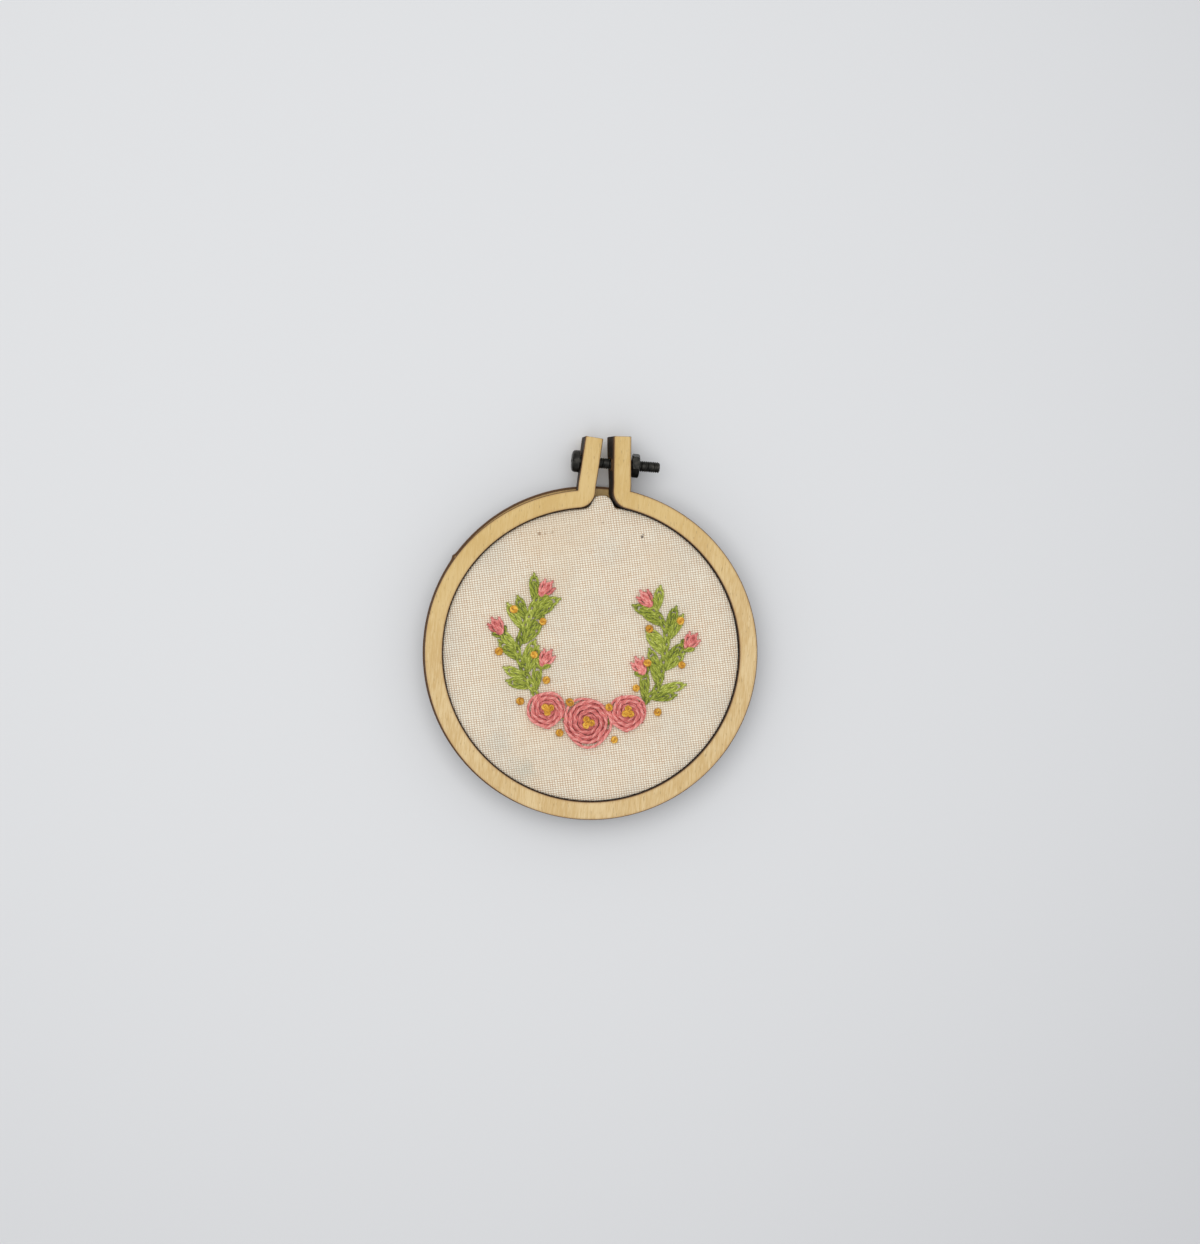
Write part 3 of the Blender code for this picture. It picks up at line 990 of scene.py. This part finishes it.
def cloth_path(reach, inset):
    """Points from the middle of the face, over the rim and under to the hem, moved inwards by inset."""
    top, bottom = CLOTH_FRONT - inset, cloth_low.z + inset
    outer = reach - inset
    bend = EDGE_ROUND - inset
    path = [(mix(0.0, reach - EDGE_ROUND, step / ACROSS_STEPS), top) for step in range(ACROSS_STEPS + 1)]
    for step in range(1, 6):
        turn = math.pi / 2 * step / 5
        path.append((outer - bend + bend * math.sin(turn), top - bend + bend * math.cos(turn)))
    for step in range(6):
        turn = math.pi / 2 * step / 5
        path.append((outer - bend + bend * math.cos(turn), bottom + bend - bend * math.sin(turn)))
    path.append((mix(outer - bend, HEM_RADIUS, 0.5), bottom))
    path.append((HEM_RADIUS, bottom))
    return path


def cloth_rows():
    reach_at = reach_by_angle()
    for step in range(AROUND_STEPS):
        angle = 2 * math.pi * step / AROUND_STEPS - math.pi
        reach = reach_at(angle) + TIGHT * (1 - 0.6 * math.exp(-(angle / SWELL_ANGLE) ** 2))
        row = []
        for inset, order in ((0.0, 1), (CLOTH_THICKNESS, -1)):
            for index, (radius, z) in list(enumerate(cloth_path(reach, inset)))[::order]:
                point = on_circle(angle, radius)
                if index <= ACROSS_STEPS:
                    calm = 1 - ease((radius - reach + 5 * MM) / (4 * MM))
                    z += cloth_height(point.x / MM, point.y / MM) * calm * MM
                row.append(point + Vector((0, 0, z)))
        yield row


# %% [markdown]
# ## Plain-weave cotton
# Up close the cloth is warp and weft, each passing over one and under one, with thicker places in the
# yarn and a few specks of husk. The yarns are far too many to model, and far too fine to cast their
# own shadows here, so the material works out which yarn is on top at each point, gives it a rounded
# height, and paints shade into the low places between yarns. The count is about 21 by 24 yarns to the
# centimetre.

# %% Cotton finish
WEFT_PITCH = 0.48
WARP_PITCH = 0.415
WEAVE_TURN = math.radians(11.5)


MARKS = [
    (-11.3, 21.2, 0.5, 0.6, srgb(140, 98, 58)),
    (-10.2, 21.3, 0.38, 0.45, srgb(150, 110, 66)),
    (-8.8, 21.7, 0.4, 0.4, srgb(160, 122, 78)),
    (7.8, 22.1, 0.38, 0.9, srgb(52, 42, 42)),
    (7.95, 22.6, 0.26, 0.7, srgb(70, 56, 52)),
    (0.4, 24.2, 0.3, 0.5, srgb(150, 118, 84)),
    (17.5, -16.2, 0.3, 0.4, srgb(150, 118, 84)),
    (-10.9, -22.4, 3.2, 0.35, srgb(188, 196, 184)),
    (-15.5, -18.0, 3.0, 0.2, srgb(188, 196, 190)),
]


def spot(made, x, y, radius, seed):
    """A soft-edged mark at one place: 1 in its middle, 0 outside."""
    wobble = (made.noise(made.x / radius + seed, made.y / radius, 0.0, 3.0) - 0.5) * radius * 2.0
    away = ((made.x - x) ** 2.0 + (made.y - y) ** 2.0) ** 0.5
    return (away + wobble).ramp(radius, radius * 0.2)


def cotton():
    made = Finish("plain_cotton", Roughness=0.85, Specular_IOR_Level=0.2, Sheen_Weight=0.15)
    across = made.x * math.cos(WEAVE_TURN) + made.y * math.sin(WEAVE_TURN)
    along = made.y * math.cos(WEAVE_TURN) - made.x * math.sin(WEAVE_TURN)
    drift_u = (made.noise(across * 0.5, along * 0.22, 3.0, 2.0) - 0.5) * 0.55
    drift_v = (made.noise(across * 0.22, along * 0.5, 9.0, 2.0) - 0.5) * 0.55
    u = across / WEFT_PITCH + drift_u + 200.0
    v = along / WARP_PITCH + drift_v + 200.0
    over = (u.floor() + v.floor()) % 2.0
    round_u = (u * math.pi).sine().size()
    round_v = (v * math.pi).sine().size()
    warp = round_u ** 0.7 * (0.5 + 0.5 * round_v)
    weft = round_v ** 0.7 * (0.5 + 0.5 * round_u)
    height = over * warp + (1 - over) * weft
    warp_tone = made.noise(u.floor() * 3.7, v * 0.12, 1.0, 1.0)
    weft_tone = made.noise(u * 0.12, v.floor() * 3.7, 5.0, 1.0)
    yarn_tone = over * warp_tone + (1 - over) * weft_tone - 0.5
    # Low places in the weave get the darker colour: painted shade between the yarns, added to each yarn's
    # own tone.
    shade_of = (height - 0.62) * 1.75 + yarn_tone * 1.1 + 0.66
    colour = made.colour_mix(shade_of.ramp(-0.15, 1.1), srgb(221, 185, 149), srgb(255, 247, 226))
    cloud = made.noise(made.x * 0.09 + 4.0, made.y * 0.09, 0.0, 2.0).ramp(0.42, 0.68)
    colour = made.colour_mix(cloud * 0.22, colour, srgb(218, 214, 200))
    warm = made.noise(made.x * 0.07, made.y * 0.07 + 30.0, 0.0, 2.0).ramp(0.5, 0.7)
    colour = made.colour_mix(warm * 0.3, colour, srgb(240, 214, 178))
    husk = made.noise(made.x * 1.5, made.y * 1.5, 20.0, 1.0).ramp(0.79, 0.83)
    colour = made.colour_mix(husk * 0.6, colour, srgb(150, 118, 84))
    for x, y, radius, depth, shade_there in MARKS:
        colour = made.colour_mix(spot(made, x, y, radius, x) * depth, colour, shade_there)
    return made.finish(colour, None, height + yarn_tone * 0.4, bump_mm=0.15)


cloth_mesh = skin("cloth", list(cloth_rows()), True, sharp_degrees=80)
cloth = add_piece("stretched_cloth", cloth_mesh, cotton())
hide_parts("embroidered_cloth")
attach(cloth, "root")
print("cloth has", len(cloth_mesh.polygons), "faces and", len(needle_holes), "needle holes")

# %% [markdown]
# ## Geometry Nodes, written in the same way
# Two things repeat hundreds of times here: the twisted strands of every stitch, and the turns of the
# screw thread. Geometry Nodes makes each of them once and repeats it. `Builder` starts a node tree
# with named inputs, closes it with Realize Instances and Set Material, and turns the result into a
# plain mesh, so that nothing live is left on the finished piece.

# %% The Geometry Nodes helper
class Builder(Net):
    """A Geometry Nodes tree with named inputs."""

    KINDS = {float: "NodeSocketFloat", int: "NodeSocketInt"}

    def __init__(self, name, **inputs):
        super().__init__(bpy.data.node_groups.new(name, "GeometryNodeTree"))
        sockets = self.tree.interface
        sockets.new_socket("Geometry", in_out="INPUT", socket_type="NodeSocketGeometry")
        self.identifiers = {}
        for label, value in inputs.items():
            made = sockets.new_socket(label, in_out="INPUT", socket_type=self.KINDS[type(value)])
            made.default_value = value
            self.identifiers[label] = made.identifier
        made = sockets.new_socket("Material", in_out="INPUT", socket_type="NodeSocketMaterial")
        self.identifiers["Material"] = made.identifier
        sockets.new_socket("Geometry", in_out="OUTPUT", socket_type="NodeSocketGeometry")
        self.start = self.tree.nodes.new("NodeGroupInput")

    def given(self, label):
        return Wire(self, self.start.outputs[label])

    def scaled(self, direction, amount):
        return self.node("ShaderNodeVectorMath", {"operation": "SCALE"}, {0: direction, "Scale": amount})

    def close(self, geometry):
        whole = self.node("GeometryNodeRealizeInstances", None, {"Geometry": geometry})
        sockets = {"Geometry": whole, "Material": self.given("Material")}
        painted = self.node("GeometryNodeSetMaterial", None, sockets)
        end = self.tree.nodes.new("NodeGroupOutput")
        self.tree.links.new(painted.socket, end.inputs["Geometry"])

    def run(self, piece, **values):
        """Run the tree on a piece, and leave the result as its plain mesh."""
        modifier = piece.modifiers.new("build", "NODES")
        modifier.node_group = self.tree
        for label, value in values.items():
            modifier[self.identifiers[label]] = value
        evaluated = piece.evaluated_get(bpy.context.evaluated_depsgraph_get())
        mesh = bpy.data.meshes.new_from_object(evaluated)
        piece.modifiers.remove(modifier)
        piece.data = mesh
        return mesh


print("builder ready")

# %% [markdown]
# ## Stranded thread
# Embroidery cotton is used as a few fine strands lying together with a slow twist. Each line of the
# picture becomes a curve. The curve is copied once for each strand, every copy is pushed a little
# aside in a direction that turns as it goes along, and a round section is swept along it.

# %% Thread tree
THREAD_STEP = 0.15 * MM
STRANDS = 3
STRAND_RADIUS = 0.13 * MM
STRAND_OFFSET = 0.15 * MM
TWIST_LENGTH = 1.5 * MM
STRAND_SIDES = 5


def thread_tree():
    given = {"Strands": STRANDS, "Radius": STRAND_RADIUS, "Offset": STRAND_OFFSET, "Twist": TWIST_LENGTH}
    tree = Builder("stranded_thread", **given)
    curve = tree.node("GeometryNodeMeshToCurve", None, {"Mesh": tree.given("Geometry")})
    sockets = {"Curve": curve, "Length": THREAD_STEP}
    curve = tree.node("GeometryNodeResampleCurve", {"mode": "LENGTH"}, sockets)
    copies = {"Geometry": curve, "Amount": tree.given("Strands")}
    strands = tree.node("GeometryNodeDuplicateElements", {"domain": "SPLINE"}, copies)
    number = strands.also("Duplicate Index")
    along = tree.node("GeometryNodeSplineParameter").also("Length")
    angle = (along / tree.given("Twist") + number / tree.given("Strands")) * (2 * math.pi)
    normal = tree.node("GeometryNodeInputNormal")
    tangent = tree.node("GeometryNodeInputTangent")
    side = tree.node("ShaderNodeVectorMath", {"operation": "CROSS_PRODUCT"}, {0: normal, 1: tangent})
    outward = tree.scaled(normal, angle.cosine() * tree.given("Offset"))
    sideways = tree.scaled(side, angle.sine() * tree.given("Offset"))
    push = tree.node("ShaderNodeVectorMath", {"operation": "ADD"}, {0: outward, 1: sideways})
    strands = tree.node("GeometryNodeSetPosition", None, {"Geometry": strands, "Offset": push})
    sockets = {"Geometry": strands, "Name": "strand", "Value": number * 1.0}
    settings = {"data_type": "FLOAT", "domain": "POINT"}
    strands = tree.node("GeometryNodeStoreNamedAttribute", settings, sockets)
    sockets = {"Resolution": STRAND_SIDES, "Radius": tree.given("Radius")}
    section = tree.node("GeometryNodeCurvePrimitiveCircle", None, sockets)
    sockets = {"Curve": strands, "Profile Curve": section, "Fill Caps": True}
    tree.close(tree.node("GeometryNodeCurveToMesh", None, sockets))
    return tree


def thread_finish(name, dark, middle, light):
    made = Finish(name, Roughness=0.55, Specular_IOR_Level=0.35, Sheen_Weight=0.25)
    tone = made.attribute("tone")
    strand = made.attribute("strand")
    fuzz = made.noise(made.x * 6.0, made.y * 6.0, made.z * 6.0, 2.0) - 0.5
    level = tone * 0.5 + 0.25 + fuzz * 0.6 + (strand - 1.0) * 0.2
    colour = made.colour_mix(level.ramp(0.0, 0.5), dark, middle)
    colour = made.colour_mix(level.ramp(0.5, 1.0), colour, light)
    # Thread lying low, near the cloth, is pulled towards its dark colour: painted shade in the crevices
    # between stitches.
    deep = made.z.ramp(CLOTH_FRONT / MM + 0.34, CLOTH_FRONT / MM - 0.05)
    colour = made.colour_mix(deep * 0.7, colour, dark)
    fibres = made.noise(made.x * 16.0, made.y * 16.0, made.z * 16.0, 1.0)
    return made.finish(colour, None, fibres, bump_mm=0.03)


THREADS = {
    "pink": (pink, srgb(160, 64, 62), srgb(226, 124, 118), srgb(255, 178, 168)),
    "green": (green, srgb(88, 100, 10), srgb(160, 170, 52), srgb(212, 218, 110)),
    "yellow": (yellow, srgb(126, 66, 2), srgb(214, 150, 30), srgb(255, 206, 84)),
}
tree = thread_tree()
for name, (stitches, dark, middle, light) in THREADS.items():
    piece = add_piece(name + "_stitches", stitches.mesh(name))
    finish = thread_finish(name + "_cotton", dark, middle, light)
    mesh = tree.run(piece, Strands=STRANDS, Radius=STRAND_RADIUS, Material=finish)
    mesh.shade_smooth()
    name + "_thread"
    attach(piece, "root")
    print(name, sum(len(face.vertices) - 2 for face in mesh.polygons), "triangles")

# %% [markdown]
# ## The bolt
# The bolt is a small machine screw, blackened all over. Its head and core are turned from a profile.
# The thread is one ridge wound round the core: a spiral curve with a four-sided section sunk halfway
# into it, which gives the crests and flat-sided grooves of a rolled thread. The head is drawn pulled
# up against the ear, closing the clearance that the plain model leaves there.

# %% Screw thread tree and bolt
THREAD_PITCH = 0.4 * MM
CORE_RADIUS = 0.9 * MM
RIDGE_FULLNESS = 0.72
RIDGE_STEPS = 26
TIP_CHAMFER = 0.2 * MM
HEAD_THICKNESS = 1.45 * MM
HEAD_RADIUS = (bolt_high.z - bolt_low.z) / 2
SEATED = 0.22 * MM
RECESS_WIDTH = 0.42 * MM
RECESS_REACH = 1.0 * MM
RECESS_DEPTH = 0.7 * MM


def blackened(name, seed):
    made = Finish(name, Metallic=0.75, Specular_IOR_Level=0.5)
    stain = made.noise(made.x * 1.3 + seed, made.y * 1.3, made.z * 1.3, 3.0)
    grain = made.noise(made.x * 14.0, made.y * 14.0 + seed, made.z * 14.0, 2.0)
    worn = made.noise(made.x * 3.1, made.y * 3.1, made.z * 3.1 + seed, 2.0).ramp(0.62, 0.76)
    colour = made.colour_mix(stain.ramp(0.3, 0.7), srgb(32, 32, 30), srgb(58, 56, 51))
    colour = made.colour_mix(worn * 0.3, colour, srgb(104, 100, 90))
    return made.finish(colour, 0.36 + (grain - 0.5) * 0.25, grain, bump_mm=0.012)


def ridge_tree():
    tree = Builder("screw_ridge", Pitch=THREAD_PITCH, Turns=10.0, Radius=CORE_RADIUS, Start=0.0)
    height = tree.given("Pitch") * tree.given("Turns")
    sockets = {"Resolution": RIDGE_STEPS, "Rotations": tree.given("Turns"), "Height": height}
    sockets.update({"Start Radius": tree.given("Radius"), "End Radius": tree.given("Radius")})
    spiral = tree.node("GeometryNodeCurveSpiral", None, sockets)
    sockets = {"Resolution": 4, "Radius": tree.given("Pitch") * 0.5 * RIDGE_FULLNESS}
    section = tree.node("GeometryNodeCurvePrimitiveCircle", None, sockets)
    sockets = {"Curve": spiral, "Profile Curve": section, "Fill Caps": True}
    ridge = tree.node("GeometryNodeCurveToMesh", None, sockets)
    place = tree.vector(tree.given("Start"), BOLT_Y, BOLT_Z)
    sockets = {"Geometry": ridge, "Translation": place, "Rotation": (0.0, math.pi / 2, 0.0)}
    ridge = tree.node("GeometryNodeTransform", None, sockets)
    joined = tree.node("GeometryNodeJoinGeometry")
    for part in (tree.given("Geometry"), ridge):
        tree.tree.links.new(part.socket, joined.socket.node.inputs[0])
    tree.close(joined)
    return tree


def head_profile():
    """From the middle of the head's face, round the pan edge, along the core, to the chamfered tip."""
    face, tip = bolt_low.x + SEATED, bolt_high.x + SEATED
    seat = face + HEAD_THICKNESS
    points = [(0.0, face), (HEAD_RADIUS * 0.62, face), (HEAD_RADIUS * 0.84, face + 0.12 * MM)]
    points += [(HEAD_RADIUS * 0.96, face + 0.36 * MM), (HEAD_RADIUS, face + 0.72 * MM)]
    points += [(HEAD_RADIUS, seat - 0.06 * MM), (HEAD_RADIUS - 0.06 * MM, seat), (CORE_RADIUS, seat)]
    return points + [(CORE_RADIUS, tip - TIP_CHAMFER), (CORE_RADIUS - TIP_CHAMFER, tip), (0.0, tip)]


def slab(name, start_x, end_x, half_y, half_z):
    """A box on the bolt's axis."""
    corners = [(-half_y, -half_z), (half_y, -half_z), (half_y, half_z), (-half_y, half_z)]
    rows = [[Vector((x, BOLT_Y + y, BOLT_Z + z)) for y, z in corners] for x in (start_x, end_x)]
    return skin(name, rows, False)


bolt_shape = turned("bolt", head_profile(), (0, BOLT_Y, BOLT_Z), (1, 0, 0), segments=64, sharp_degrees=35)
outside, floor_of_recess = bolt_low.x - 1 * MM, bolt_low.x + SEATED + RECESS_DEPTH
recess = [
    slab("cross_a", outside, floor_of_recess, RECESS_REACH, RECESS_WIDTH / 2),
    slab("cross_b", outside, floor_of_recess - 0.01 * MM, RECESS_WIDTH / 2, RECESS_REACH),
]
bolt_shape = shade(cut_away(bolt_shape, recess), 35)
bolt = add_piece("threaded_bolt", bolt_shape)
ridge_start = bolt_low.x + HEAD_THICKNESS + THREAD_PITCH
turns = (bolt_high.x + SEATED - 0.22 * MM - ridge_start) / THREAD_PITCH
bolt_finish = blackened("black_oxide", 0.0)
bolt_mesh = ridge_tree().run(bolt, Turns=turns, Start=ridge_start, Material=bolt_finish)
shade(bolt_mesh, 35)
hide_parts("bolt")
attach(bolt, "root")
print("bolt with", round(turns, 1), "turns of thread")

# %% [markdown]
# ## The nut
# A nut is a hexagon whose corners have been turned off at both faces, and a hole. We make it in that
# order: a hexagonal bar, kept only where it lies inside a turned blank with bevelled faces, and then
# bored.

# %% Nut
NUT_FLATS = 4.0 * MM
NUT_TURN = math.radians(16)
BORE_RADIUS = 1.07 * MM
BEVEL = 0.22 * MM


def hexagon():
    radius = NUT_FLATS / math.sqrt(3)
    corners = []
    for index in range(6):
        angle = NUT_TURN + math.pi * index / 3
        corners.append((-radius * math.sin(angle), radius * math.cos(angle)))
    rows = [[Vector((x, BOLT_Y + y, BOLT_Z + z)) for y, z in corners] for x in (nut_low.x, nut_high.x)]
    return skin("hexagon", rows, False)


def nut_blank():
    wide, narrow = NUT_FLATS / math.sqrt(3) + 0.02 * MM, NUT_FLATS / 2 - 0.05 * MM
    low, high = nut_low.x, nut_high.x
    profile = [(0.0, low), (narrow, low), (wide, low + BEVEL)]
    profile += [(wide, high - BEVEL), (narrow, high), (0.0, high)]
    return turned("blank", profile, (0, BOLT_Y, BOLT_Z), (1, 0, 0), segments=72)


nut_mesh = cut_away(hexagon(), [nut_blank()], "INTERSECT")
nut_mesh = cut_away(nut_mesh, [round_bar("bore", BORE_RADIUS, nut_low.x - 1 * MM, nut_high.x + 1 * MM)])
nut = add_piece("hex_nut", shade(nut_mesh, 25), blackened("nut_oxide", 17.0))
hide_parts("nut")
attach(nut, "root")
print("nut", len(nut_mesh.polygons), "faces")
